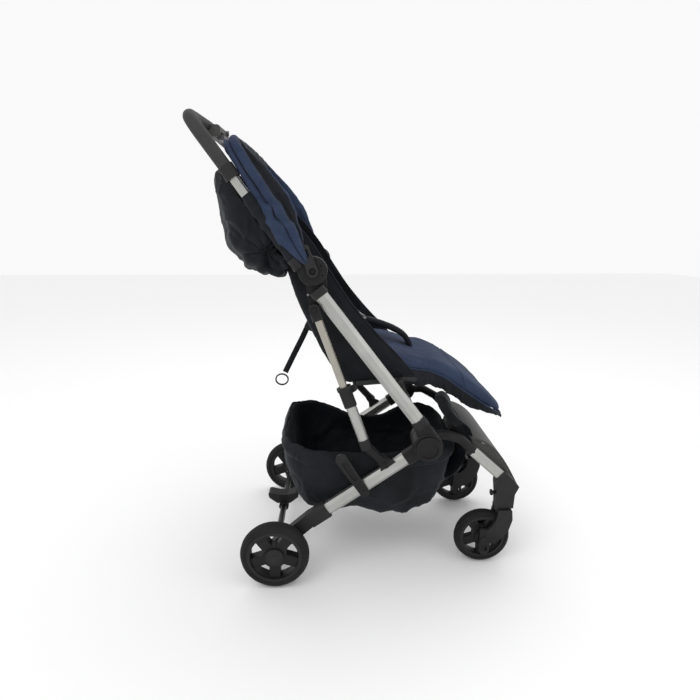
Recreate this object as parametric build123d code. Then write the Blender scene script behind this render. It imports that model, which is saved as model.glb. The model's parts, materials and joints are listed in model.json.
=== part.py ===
from build123d import *
from math import atan2, cos, degrees, hypot, radians, sin
import os

# A compact folding stroller. Millimetres; +X is forwards, +Y is the child's left and +Z is up.
# Z = 0 is the ground, and the middle of the stroller's length and width is the origin.
# Points written as (x, z) lie in a side view; a part's place across the stroller is its |y|.

MIDDLE_X = -5.175  # the middle of the stroller's length, in the x of the side-view points below

# ---- wheels ----
REAR_RADIUS, REAR_WIDTH = 80.0, 36.0
FRONT_RADIUS, FRONT_WIDTH = 69.5, 30.0
REAR_AXLE = (-220.0, 80.0)
FRONT_AXLE = (285.7, 69.5)
REAR_TRACK, FRONT_TRACK = 229.0, 146.4  # |y| of each wheel's middle
STUB_RADIUS = 6.0
RUNNING_GAP = 0.06  # radial clearance of a shaft in its hole

# ---- hinge points of the frame, (x, z) ----
UPPER_HUB = (-121.0, 732.0)
LOWER_HUB = (126.5, 346.0)
STRUT_TOP = (-119.0, 653.0)
STRUT_FOOT = (32.0, 303.0)
SEAT_PIVOT = (70.0, 470.0)
BACK_PIVOT = (-52.0, 508.0)

# ---- layers across the stroller, |y| ----
TUBE_Y, LEG_Y, ARM_Y = 231.0, 201.0, 178.0
HANDLE_Y = 234.0

# ---- main tube ----
TUBE_TOP, TUBE_BOTTOM = (-104.0, 681.0), (102.5, 408.0)
TUBE_WIDE, TUBE_TALL, TUBE_WALL = 20.0, 29.0, 2.0

# ---- rear leg ----
LEG_TOP, LEG_END = (89.0, 308.0), (-118.0, 165.0)
LEG_WIDE, LEG_TALL = 20.0, 29.6

# ---- telescopic strut, distances from STRUT_TOP down its axis ----
STRUT_ANGLE = -70.4
INNER_RADIUS, OUTER_RADIUS, OUTER_BORE = 8.5, 11.8, 10.4
SLEEVE_AT, SLEEVE_LENGTH = 178.0, 46.0
OUTER_END = 306.0

# ---- front frame ----
FRONT_TUBE_TOP, FRONT_TUBE_END = (247.0, 301.5), (322.5, 233.0)
FOOT_Y = 150.0
SWIVEL_X = 334.0
FOOT_BASE = 150.0

# ---- handle ----
GRIP_RADIUS, HANDLE_RADIUS = 13.5, 10.0
HANDLE_LOW, HANDLE_BEND = (-151.0, 743.0), (-353.0, 1025.0)
HANDLE_CROWN = (-364.0, 1043.0)
HANDLE_BEND_RADIUS = 48.0

# ---- soft goods ----
SEAT_HALF_WIDTH = 165.0
BACK_HALF_WIDTH = 178.0
BASKET_HALF_WIDTH = 184.0
BUCKLE_PLACE = Pos(-13, 0, 598) * Rot(0, 28, 0)


def side_plane(y):
    """A plane that looks like the side view: its x is X and its y is Z."""
    return Plane(origin=(0, y, 0), x_dir=(1, 0, 0), z_dir=(0, -1, 0))


def slab(sketch, y_low, y_high):
    """A side-view sketch as a plate between two places across the stroller."""
    return extrude(side_plane(y_high) * sketch, amount=y_high - y_low)


def disc(point, radius, y_low, y_high):
    return slab(Pos(*point) * Circle(radius), y_low, y_high)


def polygon(points, rounding=0):
    """A closed outline through (x, z) points, with its corners rounded."""
    sketch = make_face(Polyline(*points, close=True))
    return fillet(sketch.vertices(), rounding) if rounding else sketch


def link(a, radius_a, b, radius_b):
    """The outline of a belt round two circles."""
    ends = (Pos(*a) * Circle(radius_a)).edges() + (Pos(*b) * Circle(radius_b)).edges()
    return make_hull(ends)


def angle_of(a, b):
    return degrees(atan2(b[1] - a[1], b[0] - a[0]))


def distance(a, b):
    return hypot(b[0] - a[0], b[1] - a[1])


def along(point, angle, length, across=0.0):
    """The (x, z) point at a length along an angle, and a distance to the left of that direction."""
    a = radians(angle)
    x = point[0] + length * cos(a) - across * sin(a)
    return (x, point[1] + length * sin(a) + across * cos(a))


def section_plane(point, angle, y):
    """A plane across a bar at an (x, z) point: its x is Y, its y is up the side of the bar."""
    a = radians(angle)
    return Plane(origin=(point[0], y, point[1]), x_dir=(0, 1, 0), z_dir=(cos(a), 0, sin(a)))


def bar(section, start, end, y):
    """A straight bar with a given section between two (x, z) points."""
    plane = section_plane(start, angle_of(start, end), y)
    return extrude(plane * section, amount=distance(start, end))


def octagon(wide, tall, chamfer_x, chamfer_y):
    w, t = wide / 2, tall / 2
    right = [(w, chamfer_y - t), (w, t - chamfer_y), (w - chamfer_x, t)]
    upper = right + [(-x, z) for x, z in right[::-1]]
    outline = upper + [(chamfer_x - w, -t), (w - chamfer_x, -t)]
    return fillet(make_face(Polyline(*outline, close=True)).vertices(), 1.2)


def hollow(wide, tall, chamfer_x, chamfer_y):
    """The section of an eight-sided tube."""
    inside = octagon(wide - 2 * TUBE_WALL, tall - 2 * TUBE_WALL, chamfer_x - 1, chamfer_y - 1)
    return octagon(wide, tall, chamfer_x, chamfer_y) - inside


def tube_along(points, bends, radius, bore=0.0):
    """A round tube through 3-D points, with a bend radius at each inner point."""
    path = FilletPolyline(*points, radius=bends) if len(points) > 2 else Line(*points)
    section = Circle(radius) - Circle(bore) if bore else Circle(radius)
    start = Plane(origin=path @ 0, z_dir=path % 0)
    return sweep(start * section, path=path)


def mirrored(solid):
    return mirror(solid, Plane.XZ)


def both(solid):
    """The right-hand piece and its mirror image, as two solids of one node."""
    return Compound(children=list(solid.solids()) + list(mirrored(solid).solids()))


def rivet(point, radius, height, y, inwards=1):
    """A domed rivet head that stands out of a face at y, towards the outside."""
    head = disc(point, radius, y - height, y) if inwards > 0 else disc(point, radius, y, y + height)
    rim = head.edges().filter_by(GeomType.CIRCLE).sort_by(Axis.Y)[0 if inwards > 0 else -1]
    return fillet(rim, height * 0.6)


# ---------------------------------------------------------------- main frame


def main_tube():
    axis = angle_of(TUBE_TOP, TUBE_BOTTOM)
    start, end = along(TUBE_TOP, axis, -14), along(TUBE_BOTTOM, axis, 14)
    return bar(hollow(TUBE_WIDE, TUBE_TALL, 5.5, 8.5), start, end, -TUBE_Y)


def tube_envelope():
    axis = angle_of(TUBE_TOP, TUBE_BOTTOM)
    start, end = along(TUBE_TOP, axis, -14), along(TUBE_BOTTOM, axis, 14)
    return bar(octagon(TUBE_WIDE, TUBE_TALL, 5.5, 8.5), start, end, -TUBE_Y)


def upper_hub():
    """The root casting at the upper hinge, with the socket of the main tube and the strut's lug."""
    axis = angle_of(TUBE_TOP, TUBE_BOTTOM)
    disc_layer = disc(UPPER_HUB, 28, -223, -204)
    lug = slab(link(UPPER_HUB, 20, STRUT_TOP, 12), -219.5, -207)
    web = slab(link(UPPER_HUB, 27, along(TUBE_TOP, axis, -8), 17), -223, -205)
    socket = bar(RectangleRounded(24, 34, 7), along(TUBE_TOP, axis, -17), TUBE_TOP, -TUBE_Y)
    screw_hole = disc(UPPER_HUB, 5 + RUNNING_GAP, -230, -200)
    strut_hole = disc(STRUT_TOP, 4 + RUNNING_GAP, -230, -200)
    return disc_layer + lug + web + socket - tube_envelope() - screw_hole - strut_hole


def lower_hub():
    """The root casting at the lower hinge, with its arm up to the main tube."""
    axis = angle_of(TUBE_TOP, TUBE_BOTTOM)
    face = disc(LOWER_HUB, 33, -243.5, -218.5)
    face = fillet(face.edges().filter_by(GeomType.CIRCLE).sort_by(Axis.Y)[0], 4)
    arm = slab(link(along(TUBE_BOTTOM, axis, 22), 15, LOWER_HUB, 20), -241, -219.5)
    socket = bar(RectangleRounded(24, 33, 7), TUBE_BOTTOM, along(TUBE_BOTTOM, axis, 20), -TUBE_Y)
    hole = disc(LOWER_HUB, 8 + RUNNING_GAP, -250, -200)
    return face + arm + socket - tube_envelope() - hole


def lower_hinge_shaft():
    """The shaft of the lower hinges, from one wide round cap to the other."""
    cap = disc(LOWER_HUB, 27, -249.5, -244)
    cap = fillet(cap.edges().filter_by(GeomType.CIRCLE).sort_by(Axis.Y)[0], 2)
    cap -= disc(LOWER_HUB, 21.5, -249.6, -247.8)
    return cap + mirrored(cap) + disc(LOWER_HUB, 8, -244.5, 244.5)


def frame_rivets():
    """The domed rivet head on each upper hub's lug, above the strut's hinge."""
    head = rivet((-132, 682), 2.8, 1.6, -219.5)
    return both(head)


# ---------------------------------------------------------------- strut


def strut_point(s, across=0.0):
    return along(STRUT_TOP, STRUT_ANGLE, s, across)


def strut_top_fitting():
    """The end fitting of the strut's inner tube, hinged on the upper hub's lug."""
    body = bar(RectangleRounded(20, 24, 6), strut_point(2), strut_point(24), -TUBE_Y)
    head = disc(STRUT_TOP, 12, -241, -221)
    pin = disc(STRUT_TOP, 4, -222, -205)
    bore = bar(Circle(INNER_RADIUS), strut_point(8), strut_point(30), -TUBE_Y)
    return head + body + pin + rivet(STRUT_TOP, 5, 2, -241) - bore


def strut_inner_tube():
    section = Circle(INNER_RADIUS) - Circle(INNER_RADIUS - 1.5)
    return bar(section, strut_point(8), strut_point(SLEEVE_AT + 34), -TUBE_Y)


def strut_sleeve():
    """The locking sleeve at the mouth of the outer tube, with a lug for the seat rail."""
    top, end = strut_point(SLEEVE_AT), strut_point(SLEEVE_AT + SLEEVE_LENGTH)
    body = bar(RectangleRounded(24, 28, 9), top, end, -TUBE_Y)
    collar = bar(RectangleRounded(24, 32, 10), top, strut_point(SLEEVE_AT + 7), -TUBE_Y)
    lug = slab(link(strut_point(SLEEVE_AT + 16, 8), 8, strut_point(SLEEVE_AT + 14, 20), 7), -220.5, -213.5)
    bore = bar(Circle(INNER_RADIUS + RUNNING_GAP), strut_point(SLEEVE_AT - 1), end, -TUBE_Y)
    seat = bar(Circle(OUTER_RADIUS), strut_point(SLEEVE_AT + 10), strut_point(SLEEVE_AT + 60), -TUBE_Y)
    return body + collar + lug - bore - seat


def strut_outer_tube():
    section = Circle(OUTER_RADIUS) - Circle(OUTER_BORE)
    return bar(section, strut_point(SLEEVE_AT + 10), strut_point(OUTER_END + 8), -TUBE_Y)


def strut_boot():
    """The boot of the outer tube: it bends forwards and inwards to the lug on the rear leg."""
    cup = bar(Circle(13), strut_point(OUTER_END), strut_point(OUTER_END + 24), -TUBE_Y)
    x, z = strut_point(OUTER_END + 18)
    foot_x, foot_z = STRUT_FOOT
    outside = -LEG_Y - 22
    elbow = (foot_x - 8, outside, foot_z + 9)
    bend = tube_along([(x, -TUBE_Y, z), elbow], None, 10.5) + Pos(*elbow) * Sphere(10.5)
    tongue = slab(link((foot_x - 8, foot_z + 9), 10, STRUT_FOOT, 12), outside - 6, -LEG_Y - 10.6)
    stud = rivet(STRUT_FOOT, 5, 2, outside - 6)
    seat = bar(Circle(OUTER_RADIUS), strut_point(OUTER_END - 1), strut_point(OUTER_END + 8), -TUBE_Y)
    throat = bar(Circle(INNER_RADIUS + 0.6), strut_point(OUTER_END), strut_point(OUTER_END + 22), -TUBE_Y)
    return cup + bend + tongue + stud - seat - throat


# ---------------------------------------------------------------- rear frame


def rear_leg():
    return bar(hollow(LEG_WIDE, LEG_TALL, 4.5, 6.5), LEG_TOP, LEG_END, -LEG_Y)


def leg_envelope():
    return bar(octagon(LEG_WIDE, LEG_TALL, 4.5, 6.5), LEG_TOP, LEG_END, -LEG_Y)


def rear_leg_socket():
    """The boss on the lower hinge and the short socket that holds the rear leg."""
    slope = angle_of(LEG_TOP, LEG_END)
    mouth = along(LEG_TOP, slope, 8)
    boss = disc(LOWER_HUB, 31, -217.5, -195.5)
    neck = bar(RectangleRounded(22, 33, 5), along(LEG_TOP, slope, -26), mouth, -LEG_Y - 0.5)
    hole = disc(LOWER_HUB, 8 + RUNNING_GAP, -230, -180)
    return boss + neck - leg_envelope() - hole


def strut_lug():
    """The upright lug on the outer edge of the rear leg, beside the strut's boot."""
    slope = angle_of(LEG_TOP, LEG_END)
    base = along(STRUT_FOOT, slope - 90, -17.5)
    strip = Pos(*base) * Rectangle(40, 2, rotation=slope)
    outline = make_hull((Pos(*STRUT_FOOT) * Circle(9)).edges() + strip.edges())
    return slab(outline, -LEG_Y - 10, -LEG_Y - 3) - leg_envelope()


def rear_knuckle():
    """The carrier at the foot of the rear leg, with its arm behind the wheel to the axle."""
    slope = angle_of(LEG_TOP, LEG_END)
    mouth = along(LEG_END, slope, -25)
    body = bar(RectangleRounded(27, 38, 6), mouth, along(LEG_END, slope, 26), -LEG_Y + 0.8)
    elbow = along(LEG_END, slope, 20)
    arm = slab(link(elbow, 17, REAR_AXLE, 17), -206, -186)
    hole = disc(REAR_AXLE, 8, -230, -170)
    return body + arm - leg_envelope() - hole


def rear_axle():
    """The axle tube across the stroller, with a thinner stub through each wheel."""
    tube = disc(REAR_AXLE, 8, -209, 209)
    stubs = disc(REAR_AXLE, STUB_RADIUS, -246, 246)
    collars = disc(REAR_AXLE, 12, -185.5, -166) + disc(REAR_AXLE, 12, 166, 185.5)
    return tube + stubs + collars


def brake_pedal():
    """The rocker pedal of the parking brake, shaped like a bat's wing, on its clamp."""
    x, z = REAR_AXLE
    edge = [(11, 33), (34, 39), (41, 37), (39, 25), (18, 9)]
    outline = [(x + dx, z + dz) for dx, dz in edge] + [(x - dx, z + dz) for dx, dz in edge[::-1]]
    wing = slab(polygon(outline, 2), -17, 17)
    grip = disc(REAR_AXLE, 13, -20, 20)
    neck = slab(Pos(x, z + 8) * Rectangle(22, 16), -15, 15)
    bore = disc(REAR_AXLE, 8 + RUNNING_GAP, -60, 60)
    return wing + grip + neck - bore


def storage_latch():
    """The arm that hooks the folded frame together, pinned on the outside of the right rear leg."""
    pin, tip = (-12, 227), (-64, 308)
    arm = slab(link(pin, 11, tip, 13.5), -217.4, -211.6)
    recess = slab(link((-34, 262), 5, (-56, 297), 6), -218, -215.4)
    stud = disc(pin, 4.5, -218.2, -217.4)
    return arm - recess + stud + disc(pin, 4, -211.6, -211.05)


def wheel_rim(radius, width):
    """A moulded wheel centre: five broad spokes, five rounded windows, a rim and a hub."""
    windows = Circle(0.69 * radius) - Circle(0.36 * radius)
    for i in range(5):
        windows -= Rot(0, 0, 72 * i - 90) * Pos(0.5 * radius, 0) * Rectangle(radius, 0.31 * radius)
    windows = Compound(children=[fillet(f.vertices(), 0.05 * radius) for f in windows.faces()])
    half = width / 2 - 2
    plate = extrude(Circle(0.74 * radius), amount=half - 5, both=True)
    ring = extrude(Circle(0.80 * radius) - Circle(0.70 * radius), amount=half, both=True)
    hub = extrude(Circle(0.27 * radius), amount=half, both=True)
    hollow = extrude(windows, amount=width, both=True)
    bore = extrude(Circle(STUB_RADIUS + RUNNING_GAP), amount=width, both=True)
    return plate + ring + hub - hollow - bore


def tyre(radius, width):
    """A foam tyre: a broad ring with a rounded tread."""
    w, inner = width / 2, 0.80 * radius
    outline = Polyline((inner, -w + 1), (radius - 9, -w), (radius - 3, -w + 6), (radius, -w + 14),
                       (radius, w - 14), (radius - 3, w - 6), (radius - 9, w), (inner, w - 1), close=True)
    return revolve(make_face(outline), axis=Axis.Y)


def set_wheel(solid, axle, y):
    """A wheel part drawn about Z is turned to spin about Y and set on its axle."""
    return Pos(axle[0], y, axle[1]) * Rot(90, 0, 0) * solid


def set_tyre(solid, axle, y):
    return Pos(axle[0], y, axle[1]) * solid


# ---------------------------------------------------------------- front frame


def front_arm():
    """The S-shaped arm from the lower hinge inwards to the front leg."""
    x, z = LOWER_HUB
    boss = disc(LOWER_HUB, 30, -189.5, -168.5)
    arm_path = [(x + 8, -ARM_Y, z + 2), (x + 54, -ARM_Y, z + 4), (x + 90, -162, z - 13),
                (FRONT_TUBE_TOP[0] + 4, -FOOT_Y, FRONT_TUBE_TOP[1] - 3.6)]
    arm = tube_along(arm_path, [26, 26], 11.4)
    slope = angle_of(FRONT_TUBE_TOP, FRONT_TUBE_END)
    mouth = bar(RectangleRounded(25, 28, 8), along(FRONT_TUBE_TOP, slope, -12),
                along(FRONT_TUBE_TOP, slope, 4), -FOOT_Y)
    hole = disc(LOWER_HUB, 8 + RUNNING_GAP, -230, -150)
    return boss + arm + mouth - front_tube_envelope() - hole


def front_tube_envelope():
    return bar(RectangleRounded(22, 25, 5), FRONT_TUBE_TOP, FRONT_TUBE_END, -FOOT_Y)


def front_leg_tube():
    section = RectangleRounded(22, 25, 5) - RectangleRounded(18, 21, 3)
    return bar(section, FRONT_TUBE_TOP, FRONT_TUBE_END, -FOOT_Y)


def front_foot():
    """The black corner of the front leg, down to the housing of the caster's swivel."""
    slope = angle_of(FRONT_TUBE_TOP, FRONT_TUBE_END)
    mouth = along(FRONT_TUBE_END, slope, -5)
    outline = polygon([along(mouth, slope, 0, -13.5), along(mouth, slope, 0, 13.5), (347, 230), (366.5, 207),
                       (357, 187), (355, FOOT_BASE), (314, FOOT_BASE), (312, 190), (309, 216)], 3)
    foot = slab(outline, -164, -136)
    stem_hole = Pos(SWIVEL_X, -FOOT_Y, FOOT_BASE + 17) * Cylinder(7 + RUNNING_GAP, 36)
    lock_hole = Pos(304, -FOOT_Y, 187) * Rot(0, 90, 0) * Cylinder(4 + RUNNING_GAP, 48)
    return foot - front_tube_envelope() - stem_hole - lock_hole


def swivel_lock():
    """The push pin at the back of the foot that stops the caster's swivel."""
    pin = Pos(312, -FOOT_Y, 187) * Rot(0, 90, 0) * Cylinder(4, 22)
    head = Pos(303, -FOOT_Y, 187) * Box(5, 13, 12)
    return pin + fillet(head.edges().filter_by(Axis.X), 3)


def footrest_panel():
    """The curved panel between the front legs, with a flange down beside each leg tube."""
    top = [(252, 326), (298, 305), (336, 262), (369, 204)]
    outer = Spline(*top)
    under = Spline(*[(x - 3, z - 5) for x, z in top[::-1]])
    face = make_face([outer, Line(outer @ 1, under @ 0), under, Line(under @ 1, outer @ 0)])
    flange = polygon([(253, 321), (296, 300), (332, 258), (360, 208), (350, 203), (316, 233), (248, 296)], 2)
    return slab(face, -135.5, 135.5) + slab(flange, -135.5, -130.5) + slab(flange, 130.5, 135.5)


def caster_fork():
    """The fork of a front wheel: crown, stem and two curved blades with a slotted end."""
    x, z = FRONT_AXLE
    blade = polygon([(317, 148.5), (351, 148.5), (353.5, 122), (345, 92), (331, 73), (314, 61), (301, 57),
                     (300, 36), (294, 30), (281, 30), (275, 36), (275, 97), (297, 98), (307, 108), (313, 121),
                     (317, 138)], 3)
    blades = slab(blade, -171, -163.2) + slab(blade, -129.6, -122)
    crown = slab(Pos(334, 141) * Rectangle(33, 14.8), -165, -127)
    stem = Pos(SWIVEL_X, -FOOT_Y, FOOT_BASE + 13) * Cylinder(7, 34)
    pin = disc(FRONT_AXLE, STUB_RADIUS, -164, -129)
    nut = disc(FRONT_AXLE, 8, -173, -170)
    slot = slab(Pos(292, 44) * Rectangle(6, 12), -172, -120)
    return blades + crown + stem + pin + nut - slot


# ---------------------------------------------------------------- handle


def handle_points():
    (lx, lz), (bx, bz), (cx, cz) = HANDLE_LOW, HANDLE_BEND, HANDLE_CROWN
    side = [(lx, lz), (bx, bz)]
    right = [(x, -HANDLE_Y, z) for x, z in side]
    left = [(x, HANDLE_Y, z) for x, z in side[::-1]]
    crown = [(cx, -130, cz - 6), (cx - 2, 0, cz), (cx, 130, cz - 6)]
    return right + crown + left


def handle_tube():
    """The bent aluminium tube of the handle, from hinge to hinge."""
    return tube_along(handle_points(), [HANDLE_BEND_RADIUS, 90, 400, 90, HANDLE_BEND_RADIUS], HANDLE_RADIUS,
                      HANDLE_RADIUS - 1.6)


def handle_grip():
    """The padded grip sleeve round the upper half of the handle."""
    points = handle_points()
    axis = angle_of(HANDLE_LOW, HANDLE_BEND)
    x, z = along(HANDLE_LOW, axis, 233)
    points[0], points[-1] = (x, -HANDLE_Y, z), (x, HANDLE_Y, z)
    return tube_along(points, [HANDLE_BEND_RADIUS, 90, 400, 90, HANDLE_BEND_RADIUS], GRIP_RADIUS,
                      HANDLE_RADIUS + 0.05)


def handle_collar():
    """The clamp below the grip, with its thumb knob."""
    axis = angle_of(HANDLE_LOW, HANDLE_BEND)
    low, high = along(HANDLE_LOW, axis, 206), along(HANDLE_LOW, axis, 232.5)
    ring = bar(Circle(16) - Circle(HANDLE_RADIUS + 0.02), low, high, -HANDLE_Y)
    knob = bar(Pos(0, 18) * Circle(3.5), along(low, axis, 12), along(low, axis, 20), -HANDLE_Y)
    hole = bar(Circle(HANDLE_RADIUS + 0.02), low, high, -HANDLE_Y)
    return ring + knob - hole


def handle_hub_disc():
    """The rotating half of the upper hinge: a disc with a tail that holds the handle tube."""
    axis = angle_of(HANDLE_LOW, HANDLE_BEND)
    face = disc(UPPER_HUB, 30, -242, -223.5)
    face = fillet(face.edges().filter_by(GeomType.CIRCLE).sort_by(Axis.Y)[0], 3)
    tail = slab(link(UPPER_HUB, 20, along(HANDLE_LOW, axis, 6), 13), -241, -224)
    socket = bar(Circle(13.5), along(HANDLE_LOW, axis, -6), along(HANDLE_LOW, axis, 18), -HANDLE_Y)
    keep = slab(Pos(-140, 740) * Rectangle(90, 90), -248, -223.5)
    bore = bar(Circle(HANDLE_RADIUS + 0.02), HANDLE_LOW, along(HANDLE_LOW, axis, 30), -HANDLE_Y)
    ring = disc(UPPER_HUB, 17, -243, -241.5) - disc(UPPER_HUB, 15.5, -244, -241)
    screw = disc(UPPER_HUB, 5, -230, -203) + rivet(UPPER_HUB, 6.5, 3, -242)
    holes = disc((-101, 724), 2, -243, -239) + disc((-104, 743), 2, -243, -239)
    return face + tail + (socket & keep) - bore - ring - holes + screw


def fold_housing():
    """The housing of the fold control, clamped under the middle of the handle."""
    x, z = HANDLE_CROWN
    body = Pos(x + 18, 0, z - 14) * Box(30, 96, 26)
    body = fillet(body.edges().filter_by(Axis.Y), 7)
    grip = Pos(x - 2, 0, z - 1.4) * Rot(90, 0, 0) * Cylinder(GRIP_RADIUS + 1.6, 120)
    lever_slot = Pos(x + 33, 0, z - 28) * Box(24, 84, 24)
    button_hole = Pos(x + 30, 30, z - 8) * Rot(0, 90, 0) * Cylinder(6 + RUNNING_GAP, 24)
    return body - grip - lever_slot - button_hole


def fold_trigger():
    """The squeeze lever under the handle."""
    x, z = HANDLE_CROWN
    lever = Pos(x + 32, 0, z - 27) * Box(16, 80, 12)
    return fillet(lever.edges().filter_by(Axis.Y), 4)


def fold_button():
    x, z = HANDLE_CROWN
    return Pos(x + 31, 30, z - 8) * Rot(0, 90, 0) * Cylinder(6, 12)


# ---------------------------------------------------------------- canopy and hood


def canopy_bracket():
    """The lever on the outside of the upper hub that carries the canopy's bow."""
    tip = along(UPPER_HUB, 108, 47)
    lever = slab(link(UPPER_HUB, 12, tip, 8), -249.5, -245.5)
    ear = slab(link(along(UPPER_HUB, 112, 24), 8, along(UPPER_HUB, 121.5, 37), 6), -249.5, -245.5)
    slot = slab(link(along(UPPER_HUB, 105, 30), 2.6, along(UPPER_HUB, 106, 44), 2.6), -252, -240)
    pin_hole = disc(along(UPPER_HUB, 121.5, 37), 3.2, -252, -240)
    return lever + ear - slot - pin_hole - disc(UPPER_HUB, 7, -252, -240)


def canopy_bow():
    """The thin bow across the stroller inside the front edge of the canopy."""
    foot, top = along(UPPER_HUB, 121.5, 37), along(UPPER_HUB, 120, 292)
    right = [(foot[0], -248.5, foot[1]), (foot[0], -231, foot[1]), (top[0], -231, top[1])]
    points = right + [(x, -y, z) for x, y, z in right[::-1]]
    return tube_along(points, [5, 58, 58, 5], 3.2)


def canopy_fabric():
    """The folded canopy: a thick arch of gathered fabric in front of the handle."""
    low, high = along(UPPER_HUB, 113, 60), along(UPPER_HUB, 121.6, 293)
    section = RectangleRounded(30, 34, 11)
    points = [(low[0], -222, low[1]), (high[0], -222, high[1]), (high[0], 222, high[1]), (low[0], 222, low[1])]
    path = FilletPolyline(*points, radius=[58, 58])
    start = Plane(origin=path @ 0, x_dir=(0, 1, 0), z_dir=path % 0)
    return sweep(start * section, path=path)


def rear_hood():
    """The black fabric pouch behind the backrest that makes room for the recline."""
    outer = polygon([(-298, 931), (-314, 905), (-306, 860), (-297, 800), (-268, 757), (-240, 733), (-186, 727),
                     (-218, 800), (-250, 868), (-276, 922)], 4)
    inner = polygon([(-294, 926), (-308, 902), (-300, 858), (-291, 803), (-264, 762), (-238, 739), (-180, 733),
                     (-180, 940), (-290, 940)])
    return slab(outer, -176, 176) - slab(inner, -170, 170)


# ---------------------------------------------------------------- seat


def seat_frame():
    """The folding seat frame: two rails, three cross tubes and the short hinge links."""
    rails = []
    for side in (-1, 1):
        points = [(-30, side * 188, 480), (78, side * 188, 488), (150, side * 162, 476), (240, side * 147, 431)]
        rails.append(tube_along(points, [60, 60], 6))
    cross = disc((-20, 480.7), 5, -189, 189) + disc((232, 435), 5, -149, 149) + disc((68, 487.3), 4.5, -189, 189)
    link_plate = slab(link(SEAT_PIVOT, 8.5, (66, 487), 7), -216, -193)
    return rails[0] + rails[1] + cross + link_plate + mirrored(link_plate)


def seat_pad():
    """The seat cushion and calf rest in one curved pad."""
    top = Spline((-10, 548), (45, 543), (110, 522), (170, 508), (228, 476), (280, 436), (318, 400))
    tip = (324, 389)
    under = Spline((315, 384), (290, 401), (255, 423), (209, 454), (150, 487), (92, 501), (-34, 501))
    face = make_face([top, Polyline(top @ 1, tip, under @ 0), under, Line(under @ 1, top @ 0)])
    pad = slab(face, -SEAT_HALF_WIDTH, SEAT_HALF_WIDTH)
    corners = Pos(200, 0, 450) * Rot(0, 40, 0) * fillet(Box(520, 330, 400).edges().filter_by(Axis.Z), 60)
    return pad & corners


def backrest():
    """The backrest with its side wings: a shallow U across the stroller."""
    back = polygon([(-66, 497), (-108, 567), (-148, 662), (-176, 735), (-236, 862), (-262, 915), (-240, 926),
                    (-214, 880), (-150, 770), (-96, 665), (-20, 552), (-44, 517)], 4)
    wing = polygon([(-66, 497), (-108, 567), (-148, 662), (-176, 735), (-236, 862), (-208, 880), (-140, 804),
                    (-103, 756), (-50, 668), (0, 605), (46, 553), (97, 497)], 4)
    panel = slab(back, -BACK_HALF_WIDTH, BACK_HALF_WIDTH)
    return panel + slab(wing, -BACK_HALF_WIDTH, -166) + slab(wing, 166, BACK_HALF_WIDTH)


def recline_adjuster():
    """The strap lock on the back of the backrest."""
    return Pos(-139, 0, 582) * Rot(0, -62, 0) * fillet(Box(30, 34, 22).edges().filter_by(Axis.Y), 3)


def recline_strap():
    """The webbing tail of the recline strap, from the lock to its pull ring."""
    strap = polygon([(-157, 572.8), (-144.5, 566.2), (-201, 458), (-208, 452), (-211, 453.2), (-213.5, 464)])
    return slab(strap, -1.3, 1.3)


def pull_ring():
    """The wire ring on the end of the strap, shaped like a D."""
    sketch = Pos(-216, 434.5) * (Ellipse(17.5, 16) - Ellipse(14, 12.5))
    return slab(sketch, -1.7, 1.7)


def crotch_strap():
    """The padded crotch strap, which arches back over the seat."""
    arch = [(108, 533), (95, 557), (50, 580), (4, 591)]
    upper = Spline(*arch)
    lower = Spline(*[(x - 2, z - 9) for x, z in arch[::-1]])
    face = make_face([upper, Line(upper @ 1, lower @ 0), lower, Line(lower @ 1, upper @ 0)])
    return slab(face, -19, 19)


def harness_buckle():
    body = fillet(Box(34, 42, 12).edges().filter_by(Axis.Z), 6)
    return BUCKLE_PLACE * (body - Pos(0, 0, 4) * Cylinder(8 + RUNNING_GAP, 11))


def buckle_button():
    return BUCKLE_PLACE * Pos(0, 0, 4.6) * Cylinder(8, 6)


def basket():
    """The open fabric basket between the rear legs."""
    outer = polygon([(-205, 330), (-196, 250), (-168, 186), (-100, 162), (20, 152), (86, 148), (150, 178),
                     (200, 226), (212, 290), (150, 312), (40, 318), (-60, 322)], 10)
    inner = polygon([(-202, 345), (-193, 252), (-165, 189), (-99, 165), (20, 155), (85, 151), (148, 181),
                     (197, 228), (209, 300), (212, 345)])
    inside = slab(inner, -BASKET_HALF_WIDTH + 3, BASKET_HALF_WIDTH - 3)
    return slab(outer, -BASKET_HALF_WIDTH, BASKET_HALF_WIDTH) - inside


# ---------------------------------------------------------------- the whole stroller


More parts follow.
